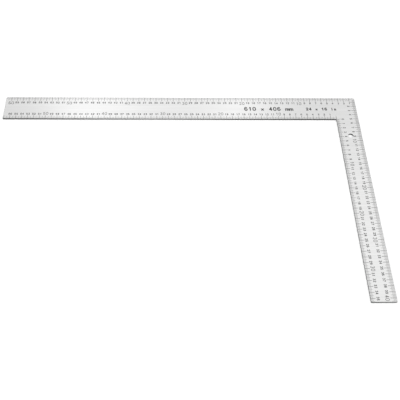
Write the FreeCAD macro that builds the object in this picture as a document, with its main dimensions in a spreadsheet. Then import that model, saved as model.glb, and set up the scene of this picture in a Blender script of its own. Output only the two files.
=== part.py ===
import FreeCAD, Part

import math
import os
from dataclasses import dataclass

import Sketcher

# A carpenter's steel square: one flat L-shaped blank of stainless steel, a long blade and a
# shorter tongue at a right angle. Each of its four long edges carries a centimetre scale on the
# front face, whose lines and figures are thin black enamel baked onto the steel.
#
# Frame: +X towards the heel along the blade, +Y towards the blade's outer edge, +Z up out of
# the front face. The origin is the middle of the L's rectangle, on the back face.

V = FreeCAD.Vector

# Millimetres. The blade is 24 in by 2 in, and the tongue is 16 in by 1.5 in.
DIMENSIONS = {
    "blade_length": 609.6,
    "blade_width": 50.8,
    "tongue_length": 406.4,
    "tongue_width": 38.1,
    "thickness": 2.5,
    "outer_round": 0.8,
    "inner_round": 1.5,
    "edge_break": 0.2,
    "hang_hole_diameter": 9.0,
    "hang_hole_drop": 38.1,
    "hang_hole_margin": 0.2,
    "enamel_thickness": 0.05,
    "millimetre_line_width": 0.16,
    "half_centimetre_line_width": 0.3,
    "centimetre_line_width": 0.5,
    "line_start": 0.3,
    "shortest_line": 1.0,
    "mitre_gap": 0.6,
    "outer_millimetre_reach": 5.4,
    "outer_half_centimetre_reach": 7.4,
    "outer_centimetre_reach": 9.4,
    "outer_figure_start": 10.9,
    "inner_millimetre_reach": 4.0,
    "inner_half_centimetre_reach": 5.4,
    "inner_centimetre_reach": 7.2,
    "inner_figure_start": 8.7,
    "figure_height": 4.2,
    "figure_stroke": 0.72,
    "tens_height": 6.2,
    "tens_stroke": 0.65,
    "marks_below_middle": 1.5,
    "size_mark_height": 9.0,
    "size_mark_stroke": 1.6,
    "size_mark_from_heel": 154.0,
    "inch_mark_height": 6.8,
    "inch_mark_stroke": 1.4,
    "inch_mark_from_heel": 62.0,
}

SHEET = "Dimensions"

# The upright share of a normal above which a face counts as flat, and how near in millimetres
# the two ends of a stroke are when it closes on itself.
FLAT_NORMAL = 0.99
SAME_PLACE = 1e-6

# Half-width of a figure, the radii of the two rings of an 8 and the step from one character to
# the next, all as shares of a figure's height.
HALF = 0.28
TOP_RING = 0.235
LOW_RING = 0.26
PITCH = 0.8


def build_sheet(doc):
    """The driving dimensions, one aliased cell each."""
    sheet = doc.addObject("Spreadsheet::Sheet", SHEET)
    for row, (alias, value) in enumerate(DIMENSIONS.items(), start=1):
        sheet.set(f"A{row}", alias)
        sheet.set(f"B{row}", str(value))
        sheet.setAlias(f"B{row}", alias)
    doc.recompute()
    return sheet


# ---------------------------------------------------------------- steel blank


def origin_plane(body, role):
    return next(item for item in body.Origin.OriginFeatures if item.Role == role)


def new_sketch(body, name):
    sketch = body.newObject("Sketcher::SketchObject", name)
    sketch.AttachmentSupport = [(origin_plane(body, "XY_Plane"), "")]
    sketch.MapMode = "FlatFace"
    return sketch


def bind(sketch, kind, references, value, name, formula):
    """Add a dimension to a sketch, name it and drive it by a formula of the sheet."""
    index = sketch.addConstraint(Sketcher.Constraint(kind, *references, value))
    sketch.renameConstraint(index, name)
    sketch.setExpression(f"Constraints.{name}", formula)


def sketch_outline(body, size):
    """The L, drawn from the heel round by the blade's end, the inner corner and the tongue."""
    heel_x = size.blade_length / 2
    heel_y = size.tongue_length / 2
    inner_x = heel_x - size.tongue_width
    inner_y = heel_y - size.blade_width
    corners = [
        V(heel_x, heel_y),
        V(-heel_x, heel_y),
        V(-heel_x, inner_y),
        V(inner_x, inner_y),
        V(inner_x, -heel_y),
        V(heel_x, -heel_y),
    ]
    sketch = new_sketch(body, "outline")
    count = len(corners)
    for i in range(count):
        sketch.addGeometry(Part.LineSegment(corners[i], corners[(i + 1) % count]), False)
    for i in range(count):
        sketch.addConstraint(Sketcher.Constraint("Coincident", i, 2, (i + 1) % count, 1))
        sketch.addConstraint(Sketcher.Constraint("Vertical" if i % 2 else "Horizontal", i))
    bind(sketch, "DistanceX", (-1, 1, 0, 1), heel_x, "heel_x", f"{SHEET}.blade_length / 2")
    bind(sketch, "DistanceY", (-1, 1, 0, 1), heel_y, "heel_y", f"{SHEET}.tongue_length / 2")
    bind(sketch, "DistanceX", (0, 2, 0, 1), 2 * heel_x, "blade_length", f"{SHEET}.blade_length")
    bind(sketch, "DistanceY", (1, 2, 1, 1), size.blade_width, "blade_width", f"{SHEET}.blade_width")
    bind(sketch, "DistanceX", (4, 1, 4, 2), size.tongue_width, "tongue_width", f"{SHEET}.tongue_width")
    bind(sketch, "DistanceY", (5, 1, 5, 2), 2 * heel_y, "tongue_length", f"{SHEET}.tongue_length")
    return sketch


def hang_hole_centre(size):
    """A place on the tongue's middle line, below the inner corner."""
    x = size.blade_length / 2 - size.tongue_width / 2
    y = size.tongue_length / 2 - size.blade_width - size.hang_hole_drop
    return V(x, y)


def sketch_hang_hole(body, size):
    centre = hang_hole_centre(size)
    sketch = new_sketch(body, "hang_hole_circle")
    sketch.addGeometry(Part.Circle(centre, V(0, 0, 1), size.hang_hole_diameter / 2), False)
    bind(sketch, "DistanceX", (-1, 1, 0, 3), centre.x, "hole_x",
         f"({SHEET}.blade_length - {SHEET}.tongue_width) / 2")
    bind(sketch, "DistanceY", (-1, 1, 0, 3), centre.y, "hole_y",
         f"{SHEET}.tongue_length / 2 - {SHEET}.blade_width - {SHEET}.hang_hole_drop")
    bind(sketch, "Diameter", (0,), size.hang_hole_diameter, "hole_diameter", f"{SHEET}.hang_hole_diameter")
    return sketch


def upright_edges(feature, at_inner_corner, size):
    """Names of the L's upright corner edges: the inner corner's one, or the five others."""
    inner_x = size.blade_length / 2 - size.tongue_width
    inner_y = size.tongue_length / 2 - size.blade_width
    names = []
    for number, edge in enumerate(feature.Shape.Edges, start=1):
        start, end = edge.Vertexes[0].Point, edge.Vertexes[-1].Point
        upright = abs(start.z - end.z) > size.thickness / 2
        inner = math.hypot(start.x - inner_x, start.y - inner_y) < size.inner_round
        if upright and inner == at_inner_corner:
            names.append(f"Edge{number}")
    return names


def flat_faces(feature):
    """Names of the front and back faces."""
    names = []
    for number, face in enumerate(feature.Shape.Faces, start=1):
        if abs(face.normalAt(0, 0).z) > FLAT_NORMAL:
            names.append(f"Face{number}")
    return names


def dress(doc, body, kind, name, base, references, property_name, alias):
    """A fillet or chamfer of the named edges or faces, its size taken from the sheet."""
    feature = body.newObject(kind, name)
    feature.Base = (base, references)
    feature.setExpression(property_name, f"{SHEET}.{alias}")
    doc.recompute()
    return feature


def build_blank(doc, size):
    """The blanked L with rounded corners, broken edges and the hang hole."""
    body = doc.addObject("PartDesign::Body", "blank_body")
    body.Label = "steel_blank"
    pad = body.newObject("PartDesign::Pad", "plate")
    pad.Profile = sketch_outline(body, size)
    pad.setExpression("Length", f"{SHEET}.thickness")
    doc.recompute()
    rounded = dress(doc, body, "PartDesign::Fillet", "outer_corners", pad,
                    upright_edges(pad, False, size), "Radius", "outer_round")
    rounded = dress(doc, body, "PartDesign::Fillet", "inner_corner", rounded,
                    upright_edges(rounded, True, size), "Radius", "inner_round")
    dress(doc, body, "PartDesign::Chamfer", "broken_edges", rounded,
          flat_faces(rounded), "Size", "edge_break")
    hole = body.newObject("PartDesign::Pocket", "hang_hole")
    hole.Profile = sketch_hang_hole(body, size)
    hole.Type = "ThroughAll"
    hole.Reversed = True
    doc.recompute()
    return body


# ---------------------------------------------------------------- strokes of the figures


class Line:
    """A straight piece of a stroke's middle line."""

    def __init__(self, start, end):
        self.start = start
        self.end = end

    def scaled(self, factor):
        return Line(self.start * factor, self.end * factor)

    def beside(self, distance):
        """The parallel edge at a distance to the left."""
        along = (self.end - self.start).normalize()
        shift = V(-along.y, along.x) * distance
        return Part.LineSegment(self.start + shift, self.end + shift).toShape()


class Arc:
    """A round piece of a stroke's middle line, from one angle to another in degrees."""

    def __init__(self, centre, radius, first, last):
        self.centre = centre
        self.radius = radius
        self.first = first
        self.last = last

    def point(self, angle, radius):
        return self.centre + V(math.cos(math.radians(angle)), math.sin(math.radians(angle))) * radius

    @property
    def start(self):
        return self.point(self.first, self.radius)

    @property
    def end(self):
        return self.point(self.last, self.radius)

    def scaled(self, factor):
        return Arc(self.centre * factor, self.radius * factor, self.first, self.last)

    def beside(self, distance):
        """The concentric edge at a distance to the left."""
        turn = 1 if self.last > self.first else -1
        radius = self.radius - turn * distance
        middle = (self.first + self.last) / 2
        points = [self.point(angle, radius) for angle in (self.first, middle, self.last)]
        return Part.Arc(*points).toShape()


def end_cap(point, left_point):
    """The half circle round a stroke's end, away from the stroke, from its left side."""
    across = left_point - point
    outward = V(across.y, -across.x)
    return Part.Arc(left_point, point + outward, point - across).toShape()


def closed_wire(edges):
    return Part.Wire(Part.__sortEdges__(edges))


def stroke_face(chain, stroke):
    """The face of an even stroke round a smooth chain of lines and arcs."""
    half = stroke / 2
    left = [piece.beside(half) for piece in chain]
    right = [piece.beside(-half) for piece in chain]
    start, end = chain[0].start, chain[-1].end
    if (end - start).Length < SAME_PLACE:
        faces = [Part.Face(closed_wire(left)), Part.Face(closed_wire(right))]
        inner, outer = sorted(faces, key=lambda face: face.Area)
        return outer.cut(inner).Faces[0]
    left_end = left[-1].Vertexes[-1].Point
    right_start = right[0].Vertexes[0].Point
    caps = [end_cap(end, left_end), end_cap(start, right_start)]
    return Part.Face(closed_wire(left + right + caps))


def line(x0, y0, x1, y1):
    return Line(V(x0, y0), V(x1, y1))


def arc(x, y, radius, first, last):
    return Arc(V(x, y), radius, first, last)


def ring(x, y, radius):
    return [arc(x, y, radius, 180, 360), arc(x, y, radius, 0, 180)]


def arch(x):
    """The right-hand leg and round shoulder of a small n or m."""
    return [line(x + 0.36, 0, x + 0.36, 0.42), arc(x + 0.18, 0.42, 0.18, 0, 180)]


# Middle lines of each character, on a height of 1 and about x = 0. Each chain is smooth, and
# chains meet at the corners.
CHARACTERS = {
    "0": [[arc(0, 1 - HALF, HALF, 0, 180), line(-HALF, 1 - HALF, -HALF, HALF),
           arc(0, HALF, HALF, 180, 360), line(HALF, HALF, HALF, 1 - HALF)]],
    "1": [[line(0.06, 0, 0.06, 1)], [line(0.06, 1, -0.18, 0.76)]],
    "2": [[arc(0, 1 - HALF, HALF, 170, -35)], [line(0.2294, 0.5594, -HALF, 0)],
          [line(-HALF, 0, HALF, 0)]],
    "3": [[arc(0, 1 - TOP_RING, TOP_RING, 155, -90)], [arc(0, LOW_RING, LOW_RING, 90, -155)]],
    "4": [[line(0.12, 1, -HALF, 0.3)], [line(-HALF, 0.3, HALF, 0.3)], [line(0.12, 0, 0.12, 1)]],
    "5": [[line(0.24, 1, -0.21, 1)], [line(-0.21, 1, -0.2457, 0.4721)],
          [arc(0, 0.3, 0.3, 145, -150)]],
    "6": [ring(0, HALF, HALF), [line(-HALF, HALF, -HALF, 1 - HALF), arc(0, 1 - HALF, HALF, 180, 45)]],
    "7": [[line(-HALF, 1, HALF, 1)], [line(HALF, 1, -0.1, 0)]],
    "8": [ring(0, 1 - TOP_RING, TOP_RING), ring(0, LOW_RING, LOW_RING)],
    "9": [ring(0, 1 - HALF, HALF), [line(HALF, 1 - HALF, HALF, HALF), arc(0, HALF, HALF, 0, -135)]],
    "x": [[line(-0.22, 0.05, 0.22, 0.55)], [line(-0.22, 0.55, 0.22, 0.05)]],
    "i": [[line(0, 0, 0, 0.58)], [line(0, 0.86, 0, 0.92)]],
    "n": [[line(-0.18, 0, -0.18, 0.6)], arch(-0.18)],
    "m": [[line(-0.36, 0, -0.36, 0.6)], arch(-0.36), arch(0)],
}


def character_solid(character, height, stroke, thickness):
    """One character as flat solids, centred on x = 0, its lowest middle line on y = 0."""
    scale = height - stroke
    strokes = []
    for chain in CHARACTERS[character]:
        face = stroke_face([piece.scaled(scale) for piece in chain], stroke)
        strokes.append(face.extrude(V(0, 0, thickness)))
    if len(strokes) == 1:
        return strokes
    return strokes[0].multiFuse(strokes[1:]).removeSplitter().Solids


# ---------------------------------------------------------------- scales


@dataclass
class Scale:
    """One edge's scale: where it starts, which way it counts and which way its lines point."""

    name: str
    side: str
    start: V
    along: V
    inward: V
    length: float
    text_right: V
    first_figure: int = 1

    def point(self, distance, depth):
        return self.start + self.along * distance + self.inward * depth


def scales(size):
    """The two outer scales, counted from the heel, and the two inner ones, from the corner.

    At the heel the blade's figure 1 stands where the tongue's would, so the tongue's start at 2.
    """
    heel = V(size.blade_length / 2, size.tongue_length / 2, size.thickness)
    inner = heel - V(size.tongue_width, size.blade_width, 0)
    left, down, right, up = V(-1, 0, 0), V(0, -1, 0), V(1, 0, 0), V(0, 1, 0)
    blade_reach = size.blade_length - size.tongue_width
    tongue_reach = size.tongue_length - size.blade_width
    return [
        Scale("blade_outer", "outer", heel, left, down, size.blade_length, right),
        Scale("blade_inner", "inner", inner, left, up, blade_reach, right),
        Scale("tongue_outer", "outer", heel, down, left, size.tongue_length, down, first_figure=2),
        Scale("tongue_inner", "inner", inner, down, right, tongue_reach, down, first_figure=0),
    ]


def line_solid(scale, distance, length, width, size):
    """One scale line: a thin bar from just inside the edge, as long as its rank."""
    half = scale.along * (width / 2)
    near = scale.point(distance, size.line_start)
    far = scale.point(distance, length)
    outline = Part.makePolygon([near - half, near + half, far + half, far - half, near - half])
    return Part.Face(outline).extrude(V(0, 0, size.enamel_thickness))


def line_rank(millimetre):
    if millimetre % 10 == 0:
        return "centimetre"
    if millimetre % 5 == 0:
        return "half_centimetre"
    return "millimetre"


def scale_lines(scale, size):
    """The scale's lines by rank. On an outer scale they stop short of the heel's diagonal."""
    groups = {f"{rank}_lines": [] for rank in ("millimetre", "half_centimetre", "centimetre")}
    last = int(scale.length - size.centimetre_line_width)
    for millimetre in range(last + 1):
        rank = line_rank(millimetre)
        width = getattr(size, f"{rank}_line_width")
        length = getattr(size, f"{scale.side}_{rank}_reach")
        if scale.side == "outer":
            length = min(length, millimetre - size.mitre_gap)
        if length >= size.shortest_line:
            groups[f"{rank}_lines"].append(line_solid(scale, millimetre, length, width, size))
    return groups


def text_solids(text, centre, text_right, style, cache):
    """A row of characters with its middle at a point of the front face."""
    height, stroke, thickness = style
    pitch = PITCH * height
    text_up = V(0, 0, 1).cross(text_right)
    turn = FreeCAD.Rotation(text_right, text_up, V(0, 0, 1), "ZXY")
    base = centre - text_up * ((height - stroke) / 2)
    solids = []
    for i, character in enumerate(text):
        if character == " ":
            continue
        key = (character, height)
        if key not in cache:
            cache[key] = character_solid(character, height, stroke, thickness)
        place = base + text_right * (pitch * (i - (len(text) - 1) / 2))
        for solid in cache[key]:
            copy = solid.copy()
            copy.Placement = FreeCAD.Placement(place, turn)
            solids.append(copy)
    return solids


def figure_depth(scale, distance, height, size):
    """How deep a figure's middle lies. Beside the hanging hole it moves out to clear the hole."""
    depth = getattr(size, f"{scale.side}_figure_start") + height / 2
    from_hole = scale.point(distance, depth) - hang_hole_centre(size)
    radius = size.hang_hole_diameter / 2
    if abs(from_hole.dot(scale.along)) < radius + HALF * height:
        overlap = radius + size.hang_hole_margin + height / 2 + from_hole.dot(scale.inward)
        depth -= max(0, overlap)
    return depth


def scale_figures(scale, size, cache):
    """The centimetre figures, the tens in a larger size. The last fits inside the end."""
    small = (size.figure_height, size.figure_stroke, size.enamel_thickness)
    large = (size.tens_height, size.tens_stroke, size.enamel_thickness)
    groups = {"figures": [], "tens": []}
    for centimetre in range(scale.first_figure, int(scale.length / 10) + 1):
        tens = centimetre > 0 and centimetre % 10 == 0
        style = large if tens else small
        text = str(centimetre)
        half_width = len(text) * PITCH * style[0] / 2
        if 10 * centimetre + half_width > scale.length:
            continue
        centre = scale.point(10 * centimetre, figure_depth(scale, 10 * centimetre, style[0], size))
        solids = text_solids(text, centre, scale.text_right, style, cache)
        groups["tens" if tens else "figures"].extend(solids)
    return groups


def plain_marks(size, cache):
    """The overall size in millimetres and in inches, a little below the blade's middle line."""
    middle_y = (size.tongue_length - size.blade_width) / 2
    marks = {}
    for label, text in (("size_mark", "610 x 406 mm"), ("inch_mark", "24 x 16 in")):
        height, stroke, from_heel = (getattr(size, f"{label}_{value}")
                                     for value in ("height", "stroke", "from_heel"))
        centre = V(size.blade_length / 2 - from_heel, middle_y - size.marks_below_middle, size.thickness)
        style = (height, stroke, size.enamel_thickness)
        marks[label] = text_solids(text, centre, V(1, 0, 0), style, cache)
    return marks


# ---------------------------------------------------------------- the whole square


def add_group(doc, label, solids):
    """A group of separate enamel solids, as one feature of its own."""
    feature = doc.addObject("Part::Feature", label)
    feature.Label = label
    feature.Shape = Part.makeCompound(solids)
    feature.Placement = FreeCAD.Placement()
    return feature


def check(doc, nodes):
    """Stop if any object failed, or if a node's shape is empty or invalid."""
    for item in doc.Objects:
        if "Invalid" in item.State or "Error" in item.State:
            raise RuntimeError(f"{item.Label} failed: {item.State}")
    for node in nodes:
        if node.Shape.isNull() or not node.Shape.isValid():
            raise RuntimeError(f"{node.Label} has no valid shape")
        print(f"{node.Label}: {len(node.Shape.Solids)} solids, {node.Shape.Volume:.2f} mm3")


def main():
    doc = FreeCAD.newDocument("steel_square")
    size = build_sheet(doc)
    cache = {}
    nodes = [build_blank(doc, size)]
    for scale in scales(size):
        groups = {**scale_lines(scale, size), **scale_figures(scale, size, cache)}
        for kind, solids in groups.items():
            nodes.append(add_group(doc, f"{scale.name}_{kind}", solids))
    for label, solids in plain_marks(size, cache).items():
        nodes.append(add_group(doc, label, solids))
    doc.recompute()
    check(doc, nodes)
    os.makedirs("parts", exist_ok=True)
    for node in nodes:
        node.Shape.exportStep(f"parts/{node.Label}.step")


main()
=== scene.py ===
import math

import bpy
from mathutils import Matrix, Vector


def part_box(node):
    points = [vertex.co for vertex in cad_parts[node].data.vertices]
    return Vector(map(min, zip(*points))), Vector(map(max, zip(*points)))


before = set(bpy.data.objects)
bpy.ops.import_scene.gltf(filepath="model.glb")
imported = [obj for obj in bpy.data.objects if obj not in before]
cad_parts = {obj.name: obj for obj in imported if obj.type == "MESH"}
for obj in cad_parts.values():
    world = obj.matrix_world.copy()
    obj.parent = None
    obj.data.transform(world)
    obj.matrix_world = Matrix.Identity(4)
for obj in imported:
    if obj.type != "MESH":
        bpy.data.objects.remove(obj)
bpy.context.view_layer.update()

# A stainless steel square lying on a white table, under a white tent with soft boxes behind it.
# Metres, in the frame of the CAD: +X along the blade to the heel, +Y to its outer edge, +Z up.

# The table's top lies a hair under the square's back.
TABLE_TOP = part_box("steel_blank")[0].z - 0.0003
TABLE_HALF = 40.0
TABLE_GLOW = 0.38

TENT_STRENGTH = 0.86

# Soft boxes: name, place, the place that each points at, width, height and power in watts.
SOFT_BOXES = [
    ("back_left", (-0.42, 1.72, 1.6), (-0.14, 0.18, 0.0), 0.3, 1.2, 0.84),
    ("back_middle", (-0.05, 1.72, 1.6), (-0.02, 0.18, 0.0), 0.3, 1.2, 0.25),
    ("back_right", (0.3, 1.72, 1.6), (0.08, 0.18, 0.0), 0.2, 1.2, 0.53),
    ("right", (0.85, 0.85, 1.6), (0.28, -0.1, 0.0), 0.5, 0.8, 0.5),
]

# The camera looks down on the square from in front. Turn, tilt below level and roll in degrees,
# sensor and lens in millimetres.
CAMERA_PLACE = Vector((-0.0119, -0.6773, 0.8815))
CAMERA_TURN = -3.376
CAMERA_TILT = 53.218
CAMERA_ROLL = 2.604
SENSOR_WIDTH = 36.0
LENS = 63.05

# Brushed grain: hair lines, broader streaks and soft clouds, in cycles per metre.
HAIR_GRAIN = (14.0, 5200.0, 5200.0)
STREAK_GRAIN = (5.0, 420.0, 420.0)
CLOUD_GRAIN = (9.0, 14.0, 14.0)
SCRATCH_GRAIN = (2600.0, 2600.0, 90.0)

# Colours of the steel: its faces from dull to bright, and grey levels of the rest: the sides painted
# near black and the bevels dark grey as painted shade, paler scratches on the sides, and a painted
# reflection along them.
FACE_DULL = (0.74, 0.74, 0.737, 1.0)
FACE_BRIGHT = (0.87, 0.87, 0.868, 1.0)
SIDE_SHADE_LEVEL = 0.002
SCRATCH_LEVEL = 0.08
BEVEL_SHADE_LEVEL = 0.1
SIDE_REFLECTION_LEVEL = 0.24

# The long side faces carry a painted reflection, brighter about this X, most within the first distance
# from it and not at all past the second.
SIDE_REFLECTION_X = -0.045
SIDE_REFLECTION_FULL = 0.02
SIDE_REFLECTION_END = 0.13

# Sockets of a Mix node by the kind of its values: factor, first, second and result.
MIX_SOCKETS = {"FLOAT": (0, 2, 3, 0), "RGBA": (0, 6, 7, 2)}

# ---------------------------------------------------------------- node helpers


def new_material(name):
    """A material and its principled shader."""
    material = bpy.data.materials.new(name)
    material.use_nodes = True
    return material, material.node_tree.nodes["Principled BSDF"]


def add_node(material, kind, **values):
    """A node with its properties and its named inputs set."""
    node = material.node_tree.nodes.new(kind)
    for key, value in values.items():
        if hasattr(node, key):
            setattr(node, key, value)
        else:
            node.inputs[key].default_value = value
    return node


def join(material, source, target):
    """A link from an output to an input."""
    material.node_tree.links.new(source, target)


def position(material):
    """The place on the object, in metres."""
    return add_node(material, "ShaderNodeTexCoord").outputs["Object"]


def noise(material, grain, detail=3.0, roughness=0.55):
    """Noise from 0 to 1, with its own grain along each axis."""
    mapping = add_node(material, "ShaderNodeMapping", Scale=grain)
    join(material, position(material), mapping.inputs["Vector"])
    node = add_node(material, "ShaderNodeTexNoise", Scale=1.0, Detail=detail, Roughness=roughness)
    join(material, mapping.outputs["Vector"], node.inputs["Vector"])
    return node.outputs["Fac"]


def spread(material, value, low, high, to_low, to_high):
    """A value taken from one range to another and kept inside it."""
    node = add_node(material, "ShaderNodeMapRange", clamp=True)
    for key, number in (("From Min", low), ("From Max", high), ("To Min", to_low), ("To Max", to_high)):
        node.inputs[key].default_value = number
    join(material, value, node.inputs["Value"])
    return node.outputs["Result"]


def minus(material, value, number):
    """A value less a number."""
    node = add_node(material, "ShaderNodeMath", operation="SUBTRACT")
    join(material, value, node.inputs[0])
    node.inputs[1].default_value = number
    return node.outputs["Value"]


def magnitude(material, value):
    """A value without its sign."""
    node = add_node(material, "ShaderNodeMath", operation="ABSOLUTE")
    join(material, value, node.inputs[0])
    return node.outputs["Value"]


def part_of(material, vector, axis):
    """One axis of a vector."""
    node = add_node(material, "ShaderNodeSeparateXYZ")
    join(material, vector, node.inputs[0])
    return node.outputs[axis]


def blend(material, kind, factor, first, second):
    """Two values mixed by a factor. Each is a link, a number or a colour."""
    node = add_node(material, "ShaderNodeMix", data_type=kind)
    *inputs, result = MIX_SOCKETS[kind]
    for index, value in zip(inputs, (factor, first, second)):
        if isinstance(value, (float, tuple)):
            node.inputs[index].default_value = value
        else:
            join(material, value, node.inputs[index])
    return node.outputs[result]


def between(material, factor, first, second):
    """Two numbers mixed by a factor."""
    return blend(material, "FLOAT", factor, first, second)


def mixed(material, factor, first, second):
    """Two colours mixed by a factor."""
    return blend(material, "RGBA", factor, first, second)


def grey(level):
    """A grey of one level."""
    return (level, level, level, 1.0)


def roughen(material, shader, height, strength, distance):
    """Give the surface a relief, its depth in metres."""
    bump = add_node(material, "ShaderNodeBump", Strength=strength, Distance=distance)
    join(material, height, bump.inputs["Height"])
    join(material, bump.outputs["Normal"], shader.inputs["Normal"])


# ---------------------------------------------------------------- materials


def brushed_face(material):
    """Colour, roughness and height of the front and back faces."""
    hair = noise(material, HAIR_GRAIN, detail=4.0, roughness=0.7)
    streaks = noise(material, STREAK_GRAIN, detail=2.0)
    clouds = noise(material, CLOUD_GRAIN, detail=2.0)
    tone = spread(material, between(material, 0.5, hair, streaks), 0.3, 0.7, 0.0, 1.0)
    colour = mixed(material, tone, FACE_DULL, FACE_BRIGHT)
    rough = spread(material, between(material, 0.4, hair, clouds), 0.3, 0.7, 0.26, 0.36)
    return colour, rough, hair


def side_scratches_and_painted_light(material):
    """Colour of the sides: near black as painted shade, with fine scratches, and lifted along the middle
    as a painted reflection.
    """
    scratched = spread(material, noise(material, SCRATCH_GRAIN), 0.6, 0.75, 0.0, 1.0)
    dark = mixed(material, scratched, grey(SIDE_SHADE_LEVEL), grey(SCRATCH_LEVEL))
    # A painted reflection: the sides lifted towards a light grey about one X along the blade, fading to
    # none further off.
    x = part_of(material, position(material), "X")
    from_reflection_x = magnitude(material, minus(material, x, SIDE_REFLECTION_X))
    painted_reflection = spread(material, from_reflection_x, SIDE_REFLECTION_FULL, SIDE_REFLECTION_END, 0.8, 0.0)
    return mixed(material, painted_reflection, dark, grey(SIDE_REFLECTION_LEVEL))


def steel_material():
    """Satin stainless steel, brushed along the blade, with its sides painted near black and its bevels a
    paler dark grey, both painted shade.
    """
    material, shader = new_material("brushed_stainless")
    shader.inputs["Metallic"].default_value = 1.0
    shader.inputs["Anisotropic"].default_value = 0.55
    face_colour, face_rough, hair = brushed_face(material)

    # By how the surface faces: the top and back keep the steel's colour, while the sides and bevels are
    # painted dark as painted shade.
    normal = add_node(material, "ShaderNodeNewGeometry").outputs["Normal"]
    upward = magnitude(material, part_of(material, normal, "Z"))
    is_bevel = spread(material, upward, 0.5, 0.65, 0.0, 1.0)
    is_face = spread(material, upward, 0.75, 0.9, 0.0, 1.0)
    # The bevels are painted dark grey. This is painted shade, paler than the sides, so the edge shows a
    # faint painted highlight.
    edge_colour = mixed(material, is_bevel, side_scratches_and_painted_light(material), grey(BEVEL_SHADE_LEVEL))
    join(material, mixed(material, is_face, edge_colour, face_colour), shader.inputs["Base Color"])
    join(material, between(material, is_face, 0.5, face_rough), shader.inputs["Roughness"])

    across = add_node(material, "ShaderNodeCombineXYZ", Y=1.0)
    join(material, across.outputs["Vector"], shader.inputs["Tangent"])
    roughen(material, shader, hair, strength=0.2, distance=0.00002)
    return material


def enamel_material(name, level, rough_low, rough_high):
    """Baked black enamel, slightly mottled, a little worn and greyer in places."""
    material, shader = new_material(name)
    shader.inputs["Specular IOR Level"].default_value = 0.4
    mottle = noise(material, (900.0, 900.0, 900.0))
    wear = noise(material, (45.0, 45.0, 45.0), detail=2.0)
    worn = between(material, spread(material, wear, 0.45, 0.75, 0.0, 0.6), 0.0, mottle)
    join(material, mixed(material, worn, grey(level), grey(4 * level)), shader.inputs["Base Color"])
    join(material, spread(material, mottle, 0.3, 0.7, rough_low, rough_high), shader.inputs["Roughness"])
    roughen(material, shader, mottle, strength=0.2, distance=0.00001)
    return material


def acrylic_material():
    """White acrylic, softly lit from below."""
    material, shader = new_material("white_acrylic")
    shader.inputs["Roughness"].default_value = 0.7
    shader.inputs["Specular IOR Level"].default_value = 0.2
    shader.inputs["Emission Color"].default_value = grey(1.0)
    shader.inputs["Emission Strength"].default_value = TABLE_GLOW
    tone = noise(material, (30.0, 30.0, 30.0))
    join(material, mixed(material, tone, grey(0.9), grey(0.93)), shader.inputs["Base Color"])
    return material


def paint(node, material):
    """Give a CAD node one material."""
    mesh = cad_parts[node].data
    mesh.materials.clear()
    mesh.materials.append(material)


def dress_square():
    """Steel for the blank, one enamel for the lines and a blacker one for figures and marks."""
    steel = steel_material()
    lines = enamel_material("line_enamel", 0.02, 0.4, 0.6)
    figures = enamel_material("figure_enamel", 0.015, 0.35, 0.55)
    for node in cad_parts:
        if node == "steel_blank":
            paint(node, steel)
        elif node.endswith("_lines"):
            paint(node, lines)
        else:
            paint(node, figures)


# ---------------------------------------------------------------- table, light and camera


def white_table():
    """A large table top, just under the square."""
    mesh = bpy.data.meshes.new("table")
    corners = [(-1, -1), (1, -1), (1, 1), (-1, 1)]
    mesh.from_pydata([(x * TABLE_HALF, y * TABLE_HALF, TABLE_TOP) for x, y in corners],
                     [], [(0, 1, 2, 3)])
    mesh.materials.append(acrylic_material())
    table = bpy.data.objects.new("table", mesh)
    bpy.context.scene.collection.objects.link(table)


def white_tent():
    """An even white surround."""
    world = bpy.data.worlds.new("tent")
    world.use_nodes = True
    background = world.node_tree.nodes["Background"]
    background.inputs["Color"].default_value = grey(1.0)
    background.inputs["Strength"].default_value = TENT_STRENGTH
    bpy.context.scene.world = world


def soft_box(name, place, aim, width, height, power):
    """A rectangular soft light that points at a place."""
    light = bpy.data.lights.new(name, "AREA")
    light.shape = "RECTANGLE"
    light.size = width
    light.size_y = height
    light.energy = power
    box = bpy.data.objects.new(name, light)
    box.location = place
    box.rotation_euler = (Vector(aim) - Vector(place)).to_track_quat("-Z", "Y").to_euler()
    bpy.context.scene.collection.objects.link(box)


def light_scene():
    """A bright tent, and narrow soft boxes behind the square that its face mirrors."""
    white_tent()
    for box in SOFT_BOXES:
        soft_box(*box)


def add_camera():
    """A normal lens, looking down on the square from in front."""
    data = bpy.data.cameras.new("camera")
    data.sensor_width = SENSOR_WIDTH
    data.lens = LENS
    data.clip_start = 0.01
    data.clip_end = 50.0
    turn = Matrix.Rotation(math.radians(CAMERA_TURN), 4, "Z")
    tilt = Matrix.Rotation(math.radians(90.0 - CAMERA_TILT), 4, "X")
    roll = Matrix.Rotation(math.radians(CAMERA_ROLL), 4, "Z")
    camera = bpy.data.objects.new("camera", data)
    camera.matrix_world = Matrix.Translation(CAMERA_PLACE) @ turn @ tilt @ roll
    bpy.context.scene.collection.objects.link(camera)
    bpy.context.scene.camera = camera


bpy.context.scene.view_settings.view_transform = "Standard"
add_camera()
white_table()
light_scene()
dress_square()
